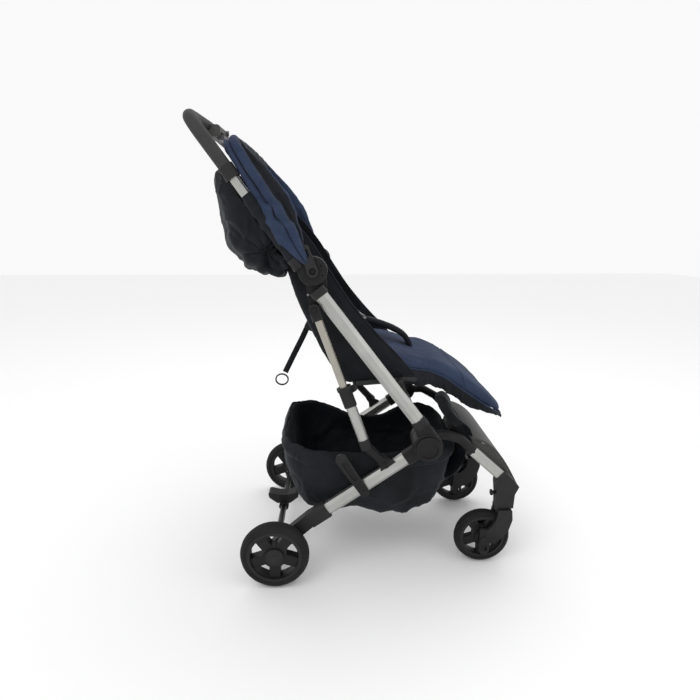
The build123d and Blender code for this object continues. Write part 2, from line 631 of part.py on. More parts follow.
def build():
    parts = {}
    for name, solid in (("main_tube", main_tube()), ("upper_hub", upper_hub()), ("lower_hub", lower_hub()),
                        ("rear_leg", rear_leg()), ("front_arm", front_arm()), ("front_foot", front_foot()),
                        ("caster_fork", caster_fork()), ("swivel_lock", swivel_lock())):
        parts[name + "_right"] = solid
        parts[name + "_left"] = mirrored(solid)
    wheels = (("rear", REAR_RADIUS, REAR_WIDTH, REAR_AXLE, REAR_TRACK),
              ("front", FRONT_RADIUS, FRONT_WIDTH, FRONT_AXLE, FRONT_TRACK))
    for place, radius, width, axle, track in wheels:
        for side, y in (("right", -track), ("left", track)):
            parts[f"{place}_rim_{side}"] = set_wheel(wheel_rim(radius, width), axle, y)
            parts[f"{place}_tyre_{side}"] = set_tyre(tyre(radius, width), axle, y)
    pairs = (("strut_top_fittings", strut_top_fitting()),
             ("strut_inner_tubes", strut_inner_tube()), ("strut_sleeves", strut_sleeve()),
             ("strut_outer_tubes", strut_outer_tube()), ("strut_boots", strut_boot()),
             ("rear_leg_sockets", rear_leg_socket()), ("rear_knuckles", rear_knuckle()),
             ("strut_lugs", strut_lug()), ("front_leg_tubes", front_leg_tube()),
             ("handle_collars", handle_collar()), ("handle_hub_discs", handle_hub_disc()),
             ("canopy_brackets", canopy_bracket()))
    for name, solid in pairs:
        parts[name] = both(solid)
    parts["frame_rivets"] = frame_rivets()
    singles = (("lower_hinge_shaft", lower_hinge_shaft()), ("rear_axle", rear_axle()),
               ("brake_pedal", brake_pedal()), ("storage_latch", storage_latch()),
               ("footrest_panel", footrest_panel()), ("handle_tube", handle_tube()), ("handle_grip", handle_grip()),
               ("fold_housing", fold_housing()), ("fold_trigger", fold_trigger()), ("fold_button", fold_button()),
               ("canopy_bow", canopy_bow()), ("canopy_fabric", canopy_fabric()), ("rear_hood", rear_hood()),
               ("seat_frame", seat_frame()), ("seat_pad", seat_pad()), ("backrest", backrest()),
               ("recline_adjuster", recline_adjuster()), ("recline_strap", recline_strap()),
               ("pull_ring", pull_ring()), ("crotch_strap", crotch_strap()), ("harness_buckle", harness_buckle()),
               ("buckle_button", buckle_button()), ("basket", basket()))
    parts.update(singles)
    return {name: Pos(-MIDDLE_X, 0, 0) * solid for name, solid in parts.items()}


def main():
    os.makedirs("parts", exist_ok=True)
    for name, solid in build().items():
        solid.label = name
        export_step(solid, f"parts/{name}.step")


if __name__ == "__main__":
    main()
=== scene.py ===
import json
import math

import bpy
import numpy as np
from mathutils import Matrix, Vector, noise


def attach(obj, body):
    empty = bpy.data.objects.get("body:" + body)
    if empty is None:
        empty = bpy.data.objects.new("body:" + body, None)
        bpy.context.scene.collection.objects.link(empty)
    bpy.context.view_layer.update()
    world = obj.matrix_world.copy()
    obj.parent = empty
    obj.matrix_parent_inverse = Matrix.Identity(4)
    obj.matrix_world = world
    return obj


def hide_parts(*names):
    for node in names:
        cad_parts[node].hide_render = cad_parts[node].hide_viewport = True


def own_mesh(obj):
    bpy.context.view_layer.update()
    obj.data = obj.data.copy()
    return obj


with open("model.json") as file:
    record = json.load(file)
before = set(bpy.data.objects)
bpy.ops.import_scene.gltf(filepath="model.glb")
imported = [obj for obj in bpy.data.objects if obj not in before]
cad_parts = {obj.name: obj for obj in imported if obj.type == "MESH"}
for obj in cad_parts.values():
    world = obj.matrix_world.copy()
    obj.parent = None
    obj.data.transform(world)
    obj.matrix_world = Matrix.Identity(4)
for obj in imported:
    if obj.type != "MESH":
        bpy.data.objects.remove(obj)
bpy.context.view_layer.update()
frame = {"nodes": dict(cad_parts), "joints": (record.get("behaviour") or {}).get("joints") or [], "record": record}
joints = {j["name"]: j for j in frame["joints"]}
nodes = frame["nodes"]

# Side-view points below are (x, z) in millimetres, in a drawing whose upper hinge is at HUB.
HUB = (-121.0, 732.0)
SHIFT = joints["handle_fold"]["pos_m"][0] - HUB[0] / 1000
UP = Vector((0, 0, 1))
ACROSS = Vector((0, 1, 0))
CURVE_STEPS = 14


def at(x, y, z):
    """A point of the frame, in metres, from millimetres of the drawing."""
    return Vector((x / 1000 + SHIFT, y / 1000, z / 1000))


# ------------------------------------------------------------------ curves and meshes


def resample(points, count):
    """Evenly spaced points along a smooth curve through the given ones."""
    p = np.array([list(q) for q in points], float)
    if len(p) > 2:
        ends = np.vstack([2 * p[0] - p[1], p, 2 * p[-1] - p[-2]])
        fine = []
        for i in range(1, len(ends) - 2):
            a, b, c, d = ends[i - 1:i + 3]
            for t in np.linspace(0, 1, CURVE_STEPS, endpoint=False):
                fine.append(0.5 * (2 * b + (c - a) * t + (2 * a - 5 * b + 4 * c - d) * t * t
                                   + (3 * b - a - 3 * c + d) * t ** 3))
        fine.append(p[-1])
        p = np.array(fine)
    length = np.concatenate([[0], np.cumsum(np.linalg.norm(np.diff(p, axis=0), axis=1))])
    wanted = np.linspace(0, length[-1], count)
    return np.column_stack([np.interp(wanted, length, p[:, k]) for k in range(p.shape[1])])


def shade_smooth(mesh):
    mesh.polygons.foreach_set("use_smooth", [True] * len(mesh.polygons))


def mesh_object(name, verts, faces, smooth=True):
    mesh = bpy.data.meshes.new(name)
    mesh.from_pydata([tuple(v) for v in verts], [], faces)
    mesh.validate()
    if smooth:
        shade_smooth(mesh)
    made = bpy.data.objects.new(name, mesh)
    bpy.context.scene.collection.objects.link(made)
    return made


def skin(name, rows, ring=False, caps=False, floor=False):
    """A surface through rows of points. Rings close on themselves, caps close both ends, floor the last."""
    n = len(rows[0])
    verts = [v for row in rows for v in row]
    faces = []
    for i in range(len(rows) - 1):
        for j in range(n if ring else n - 1):
            k = (j + 1) % n
            faces.append((i * n + j, i * n + k, (i + 1) * n + k, (i + 1) * n + j))
    if caps:
        faces.append(tuple(range(n))[::-1])
    if caps or floor:
        last = (len(rows) - 1) * n
        faces.append(tuple(range(last, last + n)))
    return mesh_object(name, verts, faces)


def section_axes(line, i, up):
    """The two directions square to a line at its point i. The first is as near to up as it can be."""
    tangent = (line[min(i + 1, len(line) - 1)] - line[max(i - 1, 0)]).normalized()
    side = (up - tangent * up.dot(tangent)).normalized()
    return side, tangent.cross(side)


def tube(name, points, radius, sides):
    """A round tube along points. The radius is a number, or a function of how far along it is from 0 to 1."""
    line = [Vector(p) for p in points]
    rows = []
    for i, p in enumerate(line):
        side, other = section_axes(line, i, ACROSS)
        r = radius(i / (len(line) - 1)) if callable(radius) else radius
        ring = []
        for k in range(sides):
            a = 2 * math.pi * k / sides
            ring.append(p + side * (r * math.cos(a)) + other * (r * math.sin(a)))
        rows.append(ring)
    return skin(name, rows, ring=True, caps=True)


def apply_modifiers(piece):
    """Replaces the mesh of a piece by what its modifiers make of it."""
    graph = bpy.context.evaluated_depsgraph_get()
    mesh = bpy.data.meshes.new_from_object(piece.evaluated_get(graph))
    piece.modifiers.clear()
    piece.data = mesh
    shade_smooth(mesh)
    return piece


def subdivide(piece, levels=1):
    smooth = piece.modifiers.new("smooth", "SUBSURF")
    smooth.levels = smooth.render_levels = levels
    return apply_modifiers(piece)


def thicken(piece, metres):
    """Gives a sheet its thickness, half of it to each side, and rounds its edges."""
    solid = piece.modifiers.new("thickness", "SOLIDIFY")
    solid.thickness = metres
    solid.offset = 0.0
    return subdivide(piece)


def wrinkle(piece, amount, size, stretch=(1, 1, 1), seed=0.0, where=None):
    """Moves the vertices along their normals by smooth creases."""
    mesh = piece.data
    co = [v.co.copy() for v in mesh.vertices]
    normals = [v.normal.copy() for v in mesh.vertices]
    for v, c, n in zip(mesh.vertices, co, normals):
        q = Vector((c.x * stretch[0], c.y * stretch[1], c.z * stretch[2])) / size
        q += Vector((seed, seed * 1.7, -seed))
        warp = Vector((noise.noise(q * 0.6), noise.noise(q * 0.6 + Vector((9, 3, 1))), 0)) * 0.9
        ridge = 1 - abs(noise.noise(q + warp)) * 2.4
        soft = noise.noise(q * 0.45 + Vector((4, 4, 4)))
        k = where(c) if where else 1.0
        v.co = c + n * (amount * k * (0.6 * ridge * abs(ridge) + 0.7 * soft))
    return piece


def groove(piece, level, half_width, depth, where=None):
    """Sews a line into a piece where level(point) is nought."""
    mesh = piece.data
    normals = [v.normal.copy() for v in mesh.vertices]
    for v, n in zip(mesh.vertices, normals):
        if where and not where(v.co, n):
            continue
        d = level(v.co) / half_width
        if abs(d) < 3:
            v.co -= n * depth * (math.exp(-d * d) - 0.25 * math.exp(-(abs(d) - 1.8) ** 2 * 2))
    return piece


VOXEL = 0.0065
PRESSURE = 4.0
MOST_PUFF = 0.005
SIMULATED_FRAMES = 20


def plump(piece):
    """Puffs a padded form up with a short cloth simulation."""
    remesh = piece.modifiers.new("even", "REMESH")
    remesh.mode = "VOXEL"
    remesh.voxel_size = VOXEL
    apply_modifiers(piece)
    rest = np.array([v.co for v in piece.data.vertices], float)
    cloth = piece.modifiers.new("cloth", "CLOTH")
    cloth.settings.use_pressure = True
    cloth.settings.uniform_pressure_force = PRESSURE
    cloth.settings.quality = 4
    cloth.settings.mass = 0.25
    cloth.settings.tension_stiffness = 12
    cloth.settings.bending_stiffness = 0.6
    cloth.settings.effector_weights.gravity = 0
    scene = bpy.context.scene
    for f in range(1, SIMULATED_FRAMES + 1):
        scene.frame_set(f)
    graph = bpy.context.evaluated_depsgraph_get()
    got = piece.evaluated_get(graph).to_mesh()
    puffed = np.array([v.co for v in got.vertices], float)
    piece.evaluated_get(graph).to_mesh_clear()
    piece.modifiers.clear()
    scene.frame_set(1)
    move = puffed - rest
    size = np.linalg.norm(move, axis=1, keepdims=True)
    move *= np.minimum(1.0, MOST_PUFF / np.maximum(size, 1e-9))
    piece.data.vertices.foreach_set("co", (rest + move).astype(np.float32).ravel())
    piece.data.update()
    return subdivide(piece)


# ------------------------------------------------------------------ materials


def node_maker(name):
    """A new material with its shader, a function that adds a node and one that joins two."""
    made = bpy.data.materials.new(name)
    made.use_nodes = True
    tree = made.node_tree
    shader = tree.nodes["Principled BSDF"]

    def add(kind, **values):
        node = tree.nodes.new(kind)
        for key, value in values.items():
            if key in node.inputs:
                node.inputs[key].default_value = value
            else:
                setattr(node, key.lower(), value)
        return node

    def join(a, out, b, into):
        tree.links.new(a.outputs[out], b.inputs[into])

    return made, shader, add, join


def ramp(add, stops):
    """A colour ramp through (place, colour) stops."""
    node = add("ShaderNodeValToRGB")
    elements = node.color_ramp.elements
    while len(elements) < len(stops):
        elements.new(0.5)
    for e, (place, colour) in zip(elements, stops):
        e.position = place
        e.color = (*colour, 1)
    return node


def hard(name, dark, light, rough, metal, grain, bump, edge=0.0, specular=0.5):
    """Metal or moulded plastic: mottled colour, grain in the gloss and surface, and rubbed edges."""
    made, shader, add, join = node_maker(name)
    place = add("ShaderNodeTexCoord")
    broad = add("ShaderNodeTexNoise", Scale=14.0, Detail=5.0, Roughness=0.6)
    fine = add("ShaderNodeTexNoise", Scale=grain, Detail=3.0, Roughness=0.7)
    join(place, "Object", broad, "Vector")
    join(place, "Object", fine, "Vector")
    colours = ramp(add, [(0.3, dark), (0.7, light)])
    join(broad, "Fac", colours, "Fac")
    if edge:
        geometry = add("ShaderNodeNewGeometry")
        rubbed = ramp(add, [(0.52, (0, 0, 0)), (0.62, (edge, edge, edge))])
        join(geometry, "Pointiness", rubbed, "Fac")
        mixed = add("ShaderNodeMix", Data_type="RGBA")
        join(rubbed, "Color", mixed, 0)
        join(colours, "Color", mixed, 6)
        mixed.inputs[7].default_value = (*[min(1, c * 1.9 + 0.05) for c in light], 1)
        join(mixed, 2, shader, "Base Color")
    else:
        join(colours, "Color", shader, "Base Color")
    gloss = add("ShaderNodeMapRange")
    gloss.inputs["To Min"].default_value, gloss.inputs["To Max"].default_value = rough
    join(fine, "Fac", gloss, "Value")
    join(gloss, "Result", shader, "Roughness")
    relief = add("ShaderNodeBump", Strength=bump, Distance=0.0006)
    join(fine, "Fac", relief, "Height")
    join(relief, "Normal", shader, "Normal")
    shader.inputs["Metallic"].default_value = metal
    shader.inputs["Specular IOR Level"].default_value = specular
    return made


def cloth(name, dark, light, sheen, rough=0.92, thread=0.0011, melange=0.5, crease=0.35, rib="Y",
          sheen_tint=(0.6, 0.7, 0.9)):
    """Woven fabric: crossed threads, a melange of yarn shades, soft creases and a little sheen."""
    made, shader, add, join = node_maker(name)
    place = add("ShaderNodeTexCoord")
    warp_turn = add("ShaderNodeMapping", Rotation=(0.0, math.radians(40), 0.0))
    join(place, "Object", warp_turn, "Vector")

    def threads_along(direction):
        wave = add("ShaderNodeTexWave", Scale=1 / thread / 20, Distortion=0.7, Detail=1.0,
                   Bands_direction=direction)
        join(warp_turn, "Vector", wave, "Vector")
        return wave

    def scale_by(operation, factor):
        node = add("ShaderNodeMath", Operation=operation)
        node.inputs[1].default_value = factor
        return node

    warp, weft, third = (threads_along(direction) for direction in ("X", rib, "Z"))
    over = add("ShaderNodeMath", Operation="MULTIPLY")
    join(warp, "Fac", over, 0)
    join(weft, "Fac", over, 1)
    weave = scale_by("MULTIPLY_ADD", 0.5)
    join(third, "Fac", weave, 0)
    join(over, "Value", weave, 2)
    yarn = add("ShaderNodeTexNoise", Scale=620.0, Detail=4.0, Roughness=0.8)
    join(place, "Object", yarn, "Vector")
    cloud = add("ShaderNodeTexNoise", Scale=9.0, Detail=4.0, Roughness=0.6)
    join(place, "Object", cloud, "Vector")
    blend = scale_by("MULTIPLY_ADD", melange)
    join(yarn, "Fac", blend, 0)
    scaled = scale_by("MULTIPLY", 1 - melange)
    join(cloud, "Fac", scaled, 0)
    join(scaled, "Value", blend, 2)
    colours = ramp(add, [(0.36, dark), (0.62, light)])
    join(blend, "Value", colours, "Fac")
    join(colours, "Color", shader, "Base Color")
    folds = add("ShaderNodeTexNoise", Scale=26.0, Detail=3.0, Roughness=0.5, Distortion=0.8)
    join(place, "Object", folds, "Vector")
    soft = add("ShaderNodeBump", Strength=crease, Distance=0.004)
    join(folds, "Fac", soft, "Height")
    threads = add("ShaderNodeBump", Strength=0.35, Distance=0.0004)
    join(weave, "Value", threads, "Height")
    join(soft, "Normal", threads, "Normal")
    join(threads, "Normal", shader, "Normal")
    shader.inputs["Roughness"].default_value = rough
    shader.inputs["Specular IOR Level"].default_value = 0.12
    shader.inputs["Sheen Weight"].default_value = sheen
    shader.inputs["Sheen Roughness"].default_value = 0.5
    shader.inputs["Sheen Tint"].default_value = (*sheen_tint, 1)
    return made


MATERIAL = {
    "silver": hard(
        "silver_anodised", (0.36, 0.36, 0.345), (0.45, 0.45, 0.43),
        rough=(0.30, 0.42), metal=0.9, grain=500, bump=0.03),
    "champagne": hard(
        "warm_anodised", (0.33, 0.315, 0.275), (0.41, 0.39, 0.34),
        rough=(0.34, 0.46), metal=0.85, grain=500, bump=0.03),
    "black_plastic": hard(
        "black_nylon", (0.006, 0.006, 0.006), (0.012, 0.012, 0.012),
        rough=(0.42, 0.60), metal=0, grain=1300, bump=0.12, edge=0.15, specular=0.2),
    "grey_plastic": hard(
        "grey_nylon", (0.030, 0.030, 0.028), (0.046, 0.046, 0.043),
        rough=(0.46, 0.60), metal=0, grain=1100, bump=0.14, edge=0.2, specular=0.3),
    "light_plastic": hard(
        "light_button", (0.060, 0.060, 0.062), (0.085, 0.085, 0.088),
        rough=(0.35, 0.5), metal=0, grain=900, bump=0.05, specular=0.3),
    "steel": hard(
        "dark_steel", (0.15, 0.15, 0.16), (0.25, 0.25, 0.26),
        rough=(0.28, 0.42), metal=1.0, grain=700, bump=0.03),
    "black_metal": hard(
        "black_painted", (0.008, 0.008, 0.009), (0.015, 0.015, 0.016),
        rough=(0.25, 0.38), metal=0.2, grain=700, bump=0.04, edge=0.2, specular=0.3),
    "tyre": hard(
        "tyre_foam", (0.008, 0.008, 0.008), (0.016, 0.016, 0.016),
        rough=(0.72, 0.88), metal=0, grain=800, bump=0.3, specular=0.2),
    "grip_leather": hard(
        "grip_foam", (0.028, 0.028, 0.028), (0.042, 0.042, 0.041),
        rough=(0.58, 0.72), metal=0, grain=1500, bump=0.3, specular=0.25),
    "navy_fabric": cloth(
        "navy_melange", (0.015, 0.022, 0.045), (0.034, 0.050, 0.094), sheen=0.06),
    "black_fabric": cloth(
        "black_nylon_cloth", (0.004, 0.005, 0.006), (0.012, 0.013, 0.016),
        sheen=0.05, rough=0.66, thread=0.0009, melange=0.3, crease=0.6, sheen_tint=(0.7, 0.8, 0.9)),
    "webbing": cloth(
        "ribbed_webbing", (0.005, 0.006, 0.007), (0.013, 0.014, 0.016),
        sheen=0.06, rough=0.8, thread=0.0016, melange=0.25, crease=0.1, rib="Z"),
    "lining": cloth(
        "grey_lining", (0.020, 0.021, 0.022), (0.042, 0.043, 0.043),
        sheen=0.05, rough=0.9, thread=0.0009, melange=0.3, crease=0.4),
    "pale_web": cloth(
        "pale_webbing", (0.22, 0.23, 0.23), (0.35, 0.35, 0.34),
        sheen=0.1, rough=0.8, thread=0.0014, melange=0.3, crease=0.1, rib="Z"),
    "piping": cloth(
        "dark_piping", (0.004, 0.005, 0.007), (0.009, 0.010, 0.013),
        sheen=0.05, rough=0.7, thread=0.0010, melange=0.3, crease=0.1),
}
# The slot of each node in the record; each CAD part takes the finish of its slot, except the pull ring.
slot_of = {s["node"]: s["material_slot"] for s in frame["record"]["subparts"]}
for node_name, cad in nodes.items():
    # The wire of the pull ring is coated black, though its slot is steel.
    finish_name = "black_plastic" if node_name == "pull_ring" else slot_of[node_name]
    cad.data.materials.clear()
    cad.data.materials.append(MATERIAL[finish_name])


def dress(piece, finish, body, stands_for=()):
    """Gives a new piece its material and the body that it rides on, and hides the nodes that it stands for."""
    piece.data.materials.clear()
    piece.data.materials.append(MATERIAL[finish])
    if stands_for:
        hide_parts(*stands_for)
    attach(piece, body)
    return piece


# ------------------------------------------------------------------ seat

# The pad's crown along its middle, its edge, and (x, y) along the outside of the right rail, mirrored.
CENTRE = [(-48, 530), (0, 540), (40, 539), (80, 529), (118, 517), (168, 508), (227, 476), (280, 436),
          (318, 399)]
EDGE = [(-48, 503), (0, 511), (40, 511), (92, 507), (138, 501), (173, 486), (209, 460), (257, 427),
        (296, 401), (319, 386)]
RAIL = [(-30, 188), (78, 188), (150, 162), (240, 147), (330, 120)]
PAD_HALF = 163
PAD_REAR = -48
PAD_TIP = 318
CORNER_START = 262
CORNER_RADIUS = 60
PAD_SIDES = 44


def height(line, x):
    """The second value of a line at x."""
    return float(np.interp(x, [p[0] for p in line], [p[1] for p in line]))


def pad_half(x):
    """Half the width of the seat pad, whose front corners are rounded."""
    t = min(0.975, max(0.0, (x - CORNER_START) / CORNER_RADIUS))
    return PAD_HALF - 58 * (1 - math.sqrt(1 - t * t)) - 5 * max(0.0, (10 - x) / 60)


def seat_cushion():
    """The seat pad and calf rest: one crowned pad whose front corners are rounded."""
    rows = []
    for x, z in resample(CENTRE, 46):
        low = height(EDGE, x)
        half = pad_half(x)
        thick = 7 - 2 * max(0.0, (x - 250) / 98)
        ring = []
        for k in range(PAD_SIDES):
            a = 2 * math.pi * k / PAD_SIDES
            c, s = math.cos(a), math.sin(a)
            y = half * math.copysign(abs(c) ** 0.28, c)
            up = low + (z - low) * abs(s) ** 0.62 if s >= 0 else low - thick * abs(s) ** 0.5
            ring.append(at(x, y, up))
        rows.append(ring)
    pad = plump(skin("seat_cushion", rows, ring=True, caps=True))
    knee = SHIFT + 0.2115

    def knee_seam(c):
        return c.x - knee - 0.03 * (c.y / 0.165) ** 2 * 0.3

    def side_stitches(c):
        return abs(c.y) - 0.148

    def front_stitches(c):
        return (c.x - SHIFT) - 0.302 + 0.03 * (abs(c.y) / 0.165) ** 4

    groove(pad, knee_seam, 0.0022, 0.0030, lambda c, n: n.z > 0.1)
    for stitches in (side_stitches, front_stitches):
        groove(pad, stitches, 0.0018, 0.0012, lambda c, n: n.z > 0.2)
    wrinkle(pad, 0.0014, 0.05, seed=3.1)
    return dress(pad, "navy_fabric", "seat", stands_for=["seat_pad"])


def pad_outline(count, start, out):
    """Points 1 mm under the edge of the pad, from x = start on the right round the front to the left."""
    right = [(x, -pad_half(x) - out, height(EDGE, x) - 1) for x in np.linspace(start, PAD_TIP, 80)]
    front = [(PAD_TIP + 3, y, 383) for y in np.linspace(-90, 90, 12)]
    return resample(right + front + [(x, -y, z) for x, y, z in right[::-1]], count)


def seat_piping():
    """The welt sewn round the edge of the seat pad."""
    path = [at(x, y, z) for x, y, z in pad_outline(260, PAD_REAR, 0.5)]
    return dress(tube("seat_piping", path, 0.0019, 8), "navy_fabric", "seat")


def seat_skirt():
    """The gathered black cover that hangs from the edge of the pad over the rail."""
    line = pad_outline(560, 74, 0.0)
    depth_steps = 8
    hang = 31
    rows = []
    for j in range(depth_steps + 1):
        t = j / depth_steps
        row = []
        for i, (x, y, z) in enumerate(line):
            side = math.copysign(1, y) if abs(y) > 110 else y / 110
            rail = min(184, max(pad_half(min(x, PAD_TIP)) + 2, height(RAIL, x) + 9))
            flare = (rail - abs(y)) * min(1, 1.6 * t) if abs(y) > 100 else 0
            drop = hang * min(1.0, max(0.28, (PAD_TIP - x) / 85))
            drop *= 1 + 0.16 * noise.noise(Vector((i * 0.06, 2.0, 0)))
            fullness = 1.1 + 2.2 * noise.noise(Vector((i * 0.035, 5, 5)))
            phase = i * 0.44 + 5 * noise.noise(Vector((i * 0.05, 0, 0)))
            gather = fullness * math.sin(phase) * t ** 0.7
            row.append(at(x - 5 * t * (1 - abs(side)) + gather * 0.25 * side,
                          y + side * (flare + gather - 3 * t ** 3), z - drop * t))
        rows.append(row)
    cover = skin("seat_skirt", rows)
    thicken(cover, 0.0016)
    wrinkle(cover, 0.0020, 0.022, seed=8.0)
    return dress(cover, "black_fabric", "seat")


def seat_sling():
    """The fabric sling that carries the pad between the rails."""
    rows = []
    for x, z in resample([(-40, 492), (30, 494), (78, 496), (150, 484), (232, 440), (290, 398)], 24):
        row = []
        for y in np.linspace(-1, 1, 26):
            sag = 7 * (1 - y * y)
            row.append(at(x, y * (160 - 0.12 * max(0, x - 120)), z - sag))
        rows.append(row)
    sling = skin("seat_sling", rows)
    thicken(sling, 0.002)
    wrinkle(sling, 0.0015, 0.04, seed=5.0)
    return dress(sling, "black_fabric", "seat")


seat_cushion()
seat_piping()
seat_skirt()
seat_sling()

# ------------------------------------------------------------------ backrest

# The back panel and the front edge of its wings, from the seat up.
REAR = [(-58, 478), (-80, 510), (-104, 550), (-122, 588), (-147, 645), (-176, 726), (-205, 798), (-240, 866),
        (-268, 918)]
FRONT = [(104, 490), (60, 542), (12, 592), (-44, 660), (-92, 733), (-130, 792), (-196, 868), (-256, 920)]
WING_Y = 174


def backrest_shell():
    """The back panel with its two side wings, one sheet of cloth."""
    rear, front = resample(REAR, 54), resample(FRONT, 54)
    rows = []
    for (rx, rz), (fx, fz) in zip(rear, front):
        plan = [(fx, fz, -WING_Y), (fx * 0.6 + rx * 0.4, fz * 0.6 + rz * 0.4, -177.5),
                (fx * 0.22 + rx * 0.78, fz * 0.22 + rz * 0.78, -178), (rx + 2, rz + 1, -173),
                (rx - 1, rz, -158), (rx + 2, rz + 1, -90), (rx + 6, rz + 3, 0)]
        plan += [(x, z, -y) for x, z, y in plan[-2::-1]]
        line = resample([at(x, y, z) for x, z, y in plan], 74)
        rows.append([Vector(p) for p in line])
    shell = skin("backrest_shell", rows)
    thicken(shell, 0.0028)

    def loose(c):
        """The lower part creases more."""
        return 0.5 + 0.7 * min(1.0, max(0.0, (0.75 - c.z) / 0.2))

    wrinkle(shell, 0.0036, 0.075, stretch=(1.2, 0.6, 0.6), seed=1.3, where=loose)
    wrinkle(shell, 0.0012, 0.025, seed=6.3)
    return dress(shell, "black_fabric", "backrest", stands_for=["backrest"])


def wing_binding(side):
    """The bound front edge of a wing."""
    line = resample([at(x, side * WING_Y, z) for x, z in FRONT], 70)
    name = "wing_binding_left" if side > 0 else "wing_binding_right"
    return dress(tube(name, line, 0.0026, 8), "piping", "backrest")


def back_cushion():
    """The navy pad on the front of the backrest."""
    ahead_x, ahead_z = 0.9, 0.43
    sides = 36
    rows = []
    line = resample(REAR, 40)[2:]
    for i, (x, z) in enumerate(line):
        t = i / (len(line) - 1)
        half = 150 - 26 * max(0.0, (t - 0.72) / 0.28) ** 2 - 10 * max(0.0, (0.08 - t) / 0.08)
        crown = math.sin(math.pi * t ** 0.9) ** 0.35 if 0 < t < 1 else 0
        thick = 24 * crown + 3
        ring = []
        for k in range(sides):
            a = 2 * math.pi * k / sides
            c, s = math.cos(a), math.sin(a)
            y = half * math.copysign(abs(c) ** 0.3, c)
            d = 6 + thick * (0.5 + 0.5 * math.copysign(abs(s) ** 0.6, s))
            ring.append(at(x + ahead_x * d + 4, y, z + ahead_z * d))
        rows.append(ring)
    pad = plump(skin("back_cushion", rows, ring=True, caps=True))
    top_seam = 0.845
    for place in (0.62, 0.76, top_seam):
        groove(pad, lambda c, p=place: c.z - p - 0.10 * c.y * c.y, 0.0024, 0.0030, lambda c, n: n.x > 0.1)
    for place in (-0.075, 0.075):
        groove(pad, lambda c, p=place: c.y - p, 0.0022, 0.0022, lambda c, n: n.x > 0.1 and c.z < top_seam)
    wrinkle(pad, 0.0014, 0.05, seed=7.7)
    return dress(pad, "navy_fabric", "backrest")


backrest_shell()
wing_binding(-1)
wing_binding(1)
back_cushion()

# ------------------------------------------------------------------ harness


# The upper half of a strap's section from edge to edge, in halves of its width and of its thickness.
STRAP_TOP = [(-1, 0), (-0.93, 0.75), (-0.78, 0.62), (-0.74, 0.95), (0, 1.05), (0.74, 0.95), (0.78, 0.62),
             (0.93, 0.75), (1, 0)]
STRAP_SECTION = STRAP_TOP + [(-a, -b) for a, b in STRAP_TOP[1:-1]]


def strap(name, points, width, thick, finish, body, count, up=ACROSS):
    """A flat strap, in millimetres across, with rounded edges and a sewn line near each edge."""
    line = [Vector(p) for p in resample(points, count)]
    rows = []
    for i, p in enumerate(line):
        side, other = section_axes(line, i, up)
        rows.append([p + side * (a * width / 2000) + other * (b * thick / 2000) for a, b in STRAP_SECTION])
    return dress(skin(name, rows, ring=True, caps=True), finish, body)


def crotch_pad():
    points = [(113, 506), (111, 528), (99, 550), (76, 566), (50, 577), (26, 585), (2, 592)]
    pad = strap("crotch_pad", [at(x, 0, z) for x, z in points], 40, 14, "webbing", "seat", 48)
    wrinkle(pad, 0.0009, 0.02, seed=2.0)
    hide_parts("crotch_strap")


def waist_belt(side, word):
    """The waist web on one side of the buckle, and its slider."""
    web = [(-6, 16, 600), (-24, 30, 608), (-44, 48, 606), (-58, 70, 582), (-62, 88, 552), (-58, 100, 528)]
    slider = [(-20, 26, 606.5), (-31, 36, 609)]
    strap(f"waist_web_{word}", [at(x, side * y, z) for x, y, z in web], 22, 1.8, "pale_web", "seat", 40)
    strap(f"waist_slider_{word}", [at(x, side * y, z) for x, y, z in slider], 29, 6, "black_plastic",
          "seat", 8)


def shoulder_belt(side, word):
    """A shoulder web and the pad round its upper part."""
    web = [(-194, 52, 808), (-160, 55, 748), (-126, 58, 676), (-96, 62, 610), (-62, 68, 552), (-42, 74, 520)]
    padded_part = [(-190, 52, 806), (-158, 55, 748), (-126, 58, 680), (-106, 60, 640)]
    strap(f"shoulder_web_{word}", [at(x, side * y, z) for x, y, z in web], 24, 1.8, "webbing", "backrest", 60)
    pad = strap(f"shoulder_pad_{word}", [at(x, side * y, z) for x, y, z in padded_part], 46, 11,
                "black_fabric", "backrest", 40)
    wrinkle(pad, 0.001, 0.02, seed=4.0 + side)


crotch_pad()
for belt_side, belt_word in ((-1, "right"), (1, "left")):
    waist_belt(belt_side, belt_word)
    shoulder_belt(belt_side, belt_word)

# ------------------------------------------------------------------ canopy

LEAN = math.radians(121.5)
AXIS = (math.cos(LEAN), math.sin(LEAN))
AHEAD = (math.sin(LEAN), -math.cos(LEAN))
# Places ahead of the line from the hinge, at distances along it: rear edge, welt, front edge, mesh edge.
REAR_EDGE = [(20, -7), (50, -17), (83, -24), (162, -22), (213, -20), (302, -21)]
WELT = [(20, -2), (50, -3), (81, -2), (121, -2), (171, -6), (232, -9), (302, -7)]
FRONT_EDGE = [(20, 3), (50, 10), (82, 16), (172, 13), (220, 12), (302, 10)]
MESH_EDGE = [(20, 0), (50, 12), (76, 24), (140, 34), (181, 36), (223, 30), (263, 21), (302, 16)]
CANOPY_FINISHES = ("navy_fabric", "black_fabric", "lining", "piping")
NAVY, BLACK, LINING, PIPING = range(4)
WELT_STRIP = 5
LINING_STRIP = 9
INNER_FOLD = 12
OUTER_STEPS = 10


def canopy_arch(count):
    """(distance along, y, outward direction) round the arch from the right foot to the left."""
    right = [(20, -246), (60, -249), (110, -247), (170, -241), (230, -238), (262, -234), (285, -222),
             (298, -200), (304, -170), (306, -90), (307, 0)]
    path = resample(right + [(s, -y) for s, y in right[-2::-1]], count)
    out = []
    for i in range(count):
        a, b = path[max(i - 1, 0)], path[min(i + 1, count - 1)]
        t = (b - a) / np.linalg.norm(b - a)
        out.append((path[i][0], path[i][1], (t[1], -t[0])))
    return out


